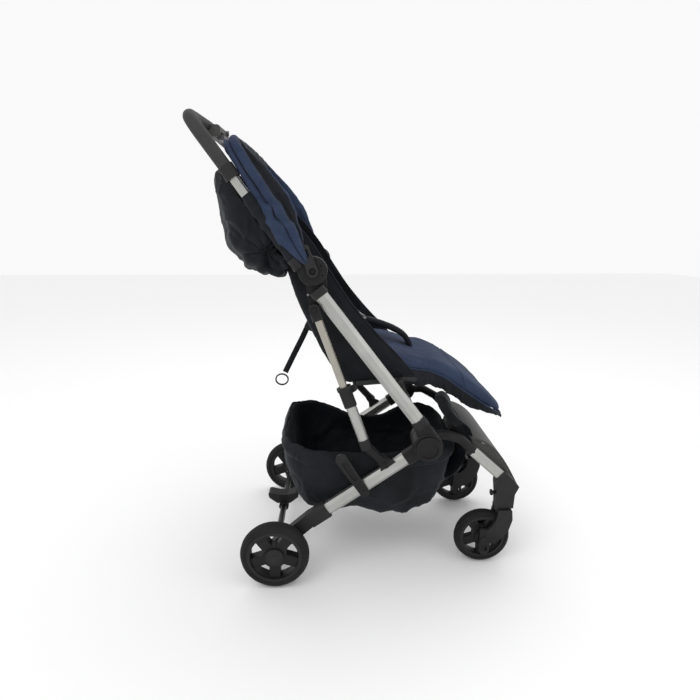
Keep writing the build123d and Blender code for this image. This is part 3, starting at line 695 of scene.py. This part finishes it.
def canopy_finish(strip, row):
    """The finish of one strip of the canopy's section: its upper inside is black and the rest mostly navy."""
    if strip == WELT_STRIP:
        return PIPING
    if strip == LINING_STRIP:
        return LINING
    if LINING_STRIP < strip <= INNER_FOLD or (strip > INNER_FOLD and 44 < row < 106):
        return BLACK
    return NAVY


def canopy_cloth():
    """The folded canopy: one continuous sheet, gathered into rolls round the arch."""
    rows = []
    for i, (s, y, (out_s, out_y)) in enumerate(canopy_arch(150)):
        r, w, f, g = (height(line, s) for line in (REAR_EDGE, WELT, FRONT_EDGE, MESH_EDGE))
        live = min(1.0, max(0.0, (s - 20) / 60))
        puff = 1 + 0.15 * noise.noise(Vector((i * 0.08, 1, 1)))
        # (ahead, outward) round the section, from under the rear edge over the welt and back inside.
        profile = [(r + 2, -9 * live), (r - 0.5, -3), (r + 1.5, 1.5), ((r + w) / 2, 5.5 * puff),
                   (w - 2.2, 3.6), (w, 0.2), (w + 2.2, 4.0), ((w + f) / 2, 7.0 * puff), (f - 2, 4.5),
                   (f + 0.5, 0), (f - 1, -6 * live),
                   (f + 0.3 * (g - f), -11 * live), (f + 0.6 * (g - f), -8 * live), (g - 1, -13 * live),
                   (g, -18 * live), (g - 5, -23 * live), ((w + g) / 2, -24 * live), (w, -22 * live),
                   (r + 4, -17 * live)]
        row = []
        fold = 5.5 * math.exp(-((s - 128) / 48) ** 2) * min(1.0, abs(y) / 200)
        for step, (ahead, out) in enumerate(profile):
            if step < OUTER_STEPS:
                wander = 0.8 * noise.noise(Vector((s * 0.02, y * 0.01, 3)))
                out += fold * math.sin(s * 0.16 + step * 0.85 + wander)
                ahead += 0.5 * fold * math.sin(s * 0.12 + step * 0.5)
            along = s + out_s * out
            x = HUB[0] + AXIS[0] * along + AHEAD[0] * ahead
            z = HUB[1] + AXIS[1] * along + AHEAD[1] * ahead
            row.append(at(x, y + out_y * out, z))
        rows.append(row)
    sheet = skin("canopy_cloth", rows, ring=True, caps=True)
    for finish in CANOPY_FINISHES:
        sheet.data.materials.append(MATERIAL[finish])
    strips = len(rows[0])
    for k in range((len(rows) - 1) * strips):
        sheet.data.polygons[k].material_index = canopy_finish(k % strips, k // strips)
    subdivide(sheet, 2)

    def lower(c):
        """The cloth creases most where it gathers, 120 mm up from the hinge."""
        s = (c.x - SHIFT - HUB[0] / 1000) * AXIS[0] + (c.z - HUB[1] / 1000) * AXIS[1]
        return 0.30 + 1.0 * math.exp(-((s - 0.12) / 0.06) ** 2)

    wrinkle(sheet, 0.0064, 0.042, stretch=(1, 0.7, 0.55), seed=2.4, where=lower)
    wrinkle(sheet, 0.0011, 0.018, seed=5.2)
    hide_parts("canopy_fabric")
    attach(sheet, "canopy")
    return sheet


canopy_cloth()


def handle_sleeve(side):
    """The wrinkled cloth sleeve on the lower handle, which holds the hood."""
    low, high = (-151, 743), (-248, 880)
    run, rise = high[0] - low[0], high[1] - low[1]
    points = [(low[0] + run * t, low[1] + rise * t) for t in np.linspace(0.10, 1, 60)]
    name = "handle_sleeve_left" if side > 0 else "handle_sleeve_right"

    def girth(t):
        return 0.0128 + 0.0016 * math.sin(t * 31) * math.sin(t * 7) - 0.0014 * max(0, (t - 0.9) / 0.1)

    sleeve = tube(name, [at(x, side * 233.5, z) for x, z in points], girth, 22)
    wrinkle(sleeve, 0.0024, 0.022, seed=3.0 + side)
    return dress(sleeve, "black_fabric", "handle")


handle_sleeve(-1)
handle_sleeve(1)

# ------------------------------------------------------------------ hood behind the backrest

# The hood from its top to its bottom: along its middle, at its rear corners and at the handle tubes.
MIDDLE = [(-300, 938), (-338, 936), (-349, 915), (-343, 868), (-334, 817), (-326, 785), (-300, 750),
          (-264, 722), (-198, 712)]
CORNER = [(-296, 930), (-312, 930), (-317, 910), (-309, 863), (-299, 817), (-293, 790), (-269, 759),
          (-238, 732), (-182, 724)]
AT_HANDLE = [(-288, 926), (-290, 925), (-284, 912), (-266, 888), (-248, 860), (-230, 832), (-212, 800),
             (-196, 768), (-172, 740)]
HOOD_ROWS = 60
FAN = (-215, 770)
OPENING = (-204, 762)


def fold_and_hollow(pouch):
    """Folds fan out from the hood's lower corners, and its sides sink in at the openings there."""
    normals = [v.normal.copy() for v in pouch.data.vertices]
    for v, n in zip(pouch.data.vertices, normals):
        x, z = (v.co.x - SHIFT) * 1000, v.co.z * 1000
        angle = math.atan2(z - FAN[1], x - FAN[0])
        far = math.hypot(x - FAN[0], z - FAN[1])
        fan = math.sin(angle * 9 + 1.6 * noise.noise(Vector((x, v.co.y * 1000, z)) / 60))
        k = min(1.0, abs(v.co.y) / 0.12) * math.exp(-((far - 60) / 60) ** 2)
        v.co += n * (0.0042 * fan * k)
        hole = math.hypot((x - OPENING[0]) / 19, (z - OPENING[1]) / 27)
        if hole < 1.25 and abs(v.co.y) > 0.15:
            v.co.y -= math.copysign(0.016 * (1 - min(1.0, hole / 1.25) ** 6), v.co.y)


def hood_pouch():
    """The loose black pouch behind the backrest."""
    rows = []
    for i, ((mx, mz), (cx, cz), (ex, ez)) in enumerate(zip(
            resample(MIDDLE, HOOD_ROWS), resample(CORNER, HOOD_ROWS), resample(AT_HANDLE, HOOD_ROWS))):
        pull = math.sin(math.pi * i / (HOOD_ROWS - 1))
        plan = [(ex, ez, -222), ((ex + cx) / 2 + 3 * pull, (ez + cz) / 2, -212), (cx + 8, cz + 1, -196),
                (cx, cz, -172), (cx * 0.6 + mx * 0.4, cz * 0.6 + mz * 0.4, -120),
                (cx * 0.1 + mx * 0.9, cz * 0.1 + mz * 0.9, -50), (mx, mz, 0)]
        plan += [(x, z, -y) for x, z, y in plan[-2::-1]]
        rows.append([Vector(p) for p in resample([at(x, y, z) for x, z, y in plan], 90)])
    pouch = skin("hood_pouch", rows)
    thicken(pouch, 0.0022)
    fold_and_hollow(pouch)
    wrinkle(pouch, 0.0085, 0.085, stretch=(0.8, 0.5, 1.1), seed=0.7)
    wrinkle(pouch, 0.0030, 0.035, seed=4.4)
    return dress(pouch, "black_fabric", "handle", stands_for=["rear_hood"])


hood_pouch()

# ------------------------------------------------------------------ basket

# The underside of the basket along its middle, and the numbers that shape it round that.
BOTTOM = [(-200, 230), (-180, 188), (-150, 166), (-100, 157), (-40, 162), (0, 158), (30, 145), (80, 141),
          (128, 160), (169, 186), (205, 232)]
BASKET_MIDDLE = 3
BASKET_HALF_LENGTH = 203
BASKET_HALF_WIDTH = 181
BASKET_RIM = 311
WALL_SHARE = 0.55
BASKET_SIDES = 130
BASKET_ROWS = 34


def basket_point(angle, depth):
    """A point of the basket: angle round it from the front, depth 0 at the rim and 1 mid-floor."""
    c, s = math.cos(angle), math.sin(angle)
    wall = min(1.0, depth / WALL_SHARE)
    taper = 1.0 - 0.13 * wall ** 1.6 + 0.035 * math.sin(math.pi * wall)
    shrink = taper if depth <= WALL_SHARE else taper * (1 - (depth - WALL_SHARE) / 0.45)
    u = math.copysign(abs(c) ** 0.42, c)
    v = math.copysign(abs(s) ** 0.42, s)
    x = BASKET_MIDDLE + BASKET_HALF_LENGTH * u * shrink
    y = BASKET_HALF_WIDTH * v * shrink
    sag = (58 if v > 0 else 10) * abs(v) * math.exp(-((x - 15) / 100) ** 2)
    rim = BASKET_RIM + 15 * max(0.0, -u) ** 4 - sag - 6 * max(0.0, u) ** 3
    rim += 6 * noise.noise(Vector((3 * c, 3 * s, 0.4)))
    floor = height(BOTTOM, x) + 6 * abs(v * shrink) ** 4
    t = wall ** 0.85
    return x, y, rim + (floor - rim) * t


def basket_cloth():
    """The bag: one sagging shell from its rim to its floor."""
    rows = []
    for j in range(BASKET_ROWS):
        depth = j / (BASKET_ROWS - 1) * 0.985
        angles = [2 * math.pi * k / BASKET_SIDES for k in range(BASKET_SIDES)]
        rows.append([at(*basket_point(angle, depth)) for angle in angles])
    bag = skin("basket_cloth", rows, ring=True, floor=True)
    thicken(bag, 0.0024)

    def slack(c):
        """The lower part creases more."""
        return 0.35 + 0.9 * min(1.0, max(0.0, (0.30 - c.z) / 0.08))

    wrinkle(bag, 0.0100, 0.085, stretch=(1, 1, 0.65), seed=9.1, where=slack)
    wrinkle(bag, 0.0034, 0.032, seed=1.9, where=slack)
    return dress(bag, "black_fabric", "main_frame", stands_for=["basket"])


def basket_hem():
    """The turned-over hem round the rim."""
    sides, steps = 200, 6
    rows = []
    for j in range(steps + 1):
        t = j / steps
        out = 1 + 0.034 * math.sin(math.pi * t) ** 0.6 + 0.012
        lift = 5 if j == 0 else 3 * (1 - t)
        row = []
        for k in range(sides):
            x, y, z = basket_point(2 * math.pi * k / sides, 0.10 * t)
            gather = 0.7 * math.sin(k * 1.1) * t
            row.append(at(BASKET_MIDDLE + (x - BASKET_MIDDLE) * out, y * out + gather * 0.4, z + lift))
        rows.append(row)
    hem = skin("basket_hem", rows, ring=True)
    thicken(hem, 0.004)
    wrinkle(hem, 0.0026, 0.03, seed=3.3)
    return dress(hem, "black_fabric", "main_frame")


def snaps():
    """Domed snap fasteners on the hem."""
    sides = 14
    dome = ((0.0055, 0), (0.0055, 0.001), (0.004, 0.0019), (0.0018, 0.0023), (0.0001, 0.0022))
    verts, faces = [], []
    for angle in (1.9, 2.5, 3.0, -2.6, -1.9, -0.9, 0.9):
        x, y, z = basket_point(angle, 0.035)
        out = Vector((math.cos(angle) * 0.6, math.sin(angle), 0)).normalized()
        centre = at(BASKET_MIDDLE + (x - BASKET_MIDDLE) * 1.018, y * 1.018, z + 1)
        side = out.cross(UP).normalized()
        up = side.cross(out)
        for j, (r, h) in enumerate(dome):
            low = len(verts) - sides
            for k in range(sides):
                a = 2 * math.pi * k / sides
                verts.append(centre + out * h + side * (r * math.cos(a)) + up * (r * math.sin(a)))
            for k in range(sides if j else 0):
                m = (k + 1) % sides
                faces.append((low + k, low + m, low + sides + m, low + sides + k))
    return dress(mesh_object("basket_snaps", verts, faces), "steel", "main_frame")


def front_flap():
    """The cloth apron that hangs behind the footrest between the front legs."""
    rows = []
    for x, z in resample([(212, 348), (230, 357), (246, 345), (254, 320), (243, 290), (229, 250), (208, 224),
                          (178, 212)], 34):
        rows.append([at(x - 9 * (1 - y * y), y * 131, z - 7 * (1 - y * y)) for y in np.linspace(-1, 1, 50)])
    flap = skin("front_flap", rows)
    thicken(flap, 0.002)
    wrinkle(flap, 0.0045, 0.05, stretch=(1, 0.6, 1), seed=6.6)
    return dress(flap, "black_fabric", "front_frame")


def recline_webbing():
    """The tail of the recline strap, which is wide in the side view."""
    points = [(-148, 572), (-162, 543), (-183, 502), (-207, 454)]
    tail = strap("recline_webbing", [at(x, 0, z) for x, z in points], 14.5, 2.6, "webbing", "backrest", 40,
                 up=Vector((0.9, 0, -0.435)))
    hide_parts("recline_strap")


basket_cloth()
basket_hem()
snaps()
front_flap()
recline_webbing()

# ------------------------------------------------------------------ stage

def pale_floor():
    corners = [(-6, -4, 0), (6, -4, 0), (6, 8, 0), (-6, 8, 0)]
    plane = mesh_object("floor", corners, [(0, 1, 2, 3)], smooth=False)
    ground, shader = node_maker("pale_floor")[:2]
    shader.inputs["Base Color"].default_value = (0.93, 0.93, 0.93, 1)
    shader.inputs["Roughness"].default_value = 0.85
    plane.data.materials.append(ground)


def studio_world():
    world = bpy.data.worlds.new("studio")
    bpy.context.scene.world = world
    world.use_nodes = True
    background = world.node_tree.nodes["Background"]
    background.inputs["Color"].default_value = (1, 1, 1, 1)
    background.inputs["Strength"].default_value = 0.95


def stand(name, data, place, look):
    """Puts a lamp or camera at place, facing along look."""
    made = bpy.data.objects.new(name, data)
    made.location = place
    made.rotation_mode = "QUATERNION"
    made.rotation_quaternion = look.to_track_quat("-Z", "Y")
    bpy.context.scene.collection.objects.link(made)
    return made


def lamp(name, place, aim, size, power):
    """A soft rectangular lamp."""
    light = bpy.data.lights.new(name, "AREA")
    light.shape = "RECTANGLE"
    light.size, light.size_y = size
    light.energy = power
    stand(name, light, place, Vector(aim) - Vector(place))


def photo_camera():
    """The camera that was fitted to the photo, turned yaw to the right and pitch down."""
    camera = bpy.data.cameras.new("camera")
    camera.lens = 26.43
    camera.sensor_width = 36
    yaw, pitch = math.radians(1.48), math.radians(13.4)
    look = Vector((math.sin(yaw) * math.cos(pitch), math.cos(yaw) * math.cos(pitch), -math.sin(pitch)))
    bpy.context.scene.camera = stand("camera", camera, at(-72.7, -1285.4, 817.8), look)
    bpy.context.scene.view_settings.view_transform = "Standard"


pale_floor()
studio_world()
lamp("key", (-1.4, -2.0, 2.9), (0, 0, 0.5), (1.8, 1.4), 18)
lamp("fill", (2.4, -1.6, 1.6), (0, 0, 0.5), (2.0, 1.6), 5)
lamp("top", (0.2, 0.9, 3.0), (0, 0, 0.4), (2.4, 1.6), 12)
photo_camera()

# ------------------------------------------------------------------ fabric pieces with meshes of their own


def crush(piece):
    """Gives a fabric piece a mesh of its own."""
    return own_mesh(piece)


FOLDING_PIECES = {
    "seat": ("seat_cushion", "seat_piping", "seat_skirt", "seat_sling"),
    "backrest": ("backrest_shell", "wing_binding_right", "wing_binding_left", "back_cushion",
                 "shoulder_web_right", "shoulder_web_left", "shoulder_pad_right", "shoulder_pad_left"),
    "canopy": ("canopy_cloth",),
    "main_frame": ("basket_cloth", "basket_hem", "basket_snaps"),
}
for body_name, piece_names in FOLDING_PIECES.items():
    for piece_name in piece_names:
        crush(bpy.data.objects[piece_name])
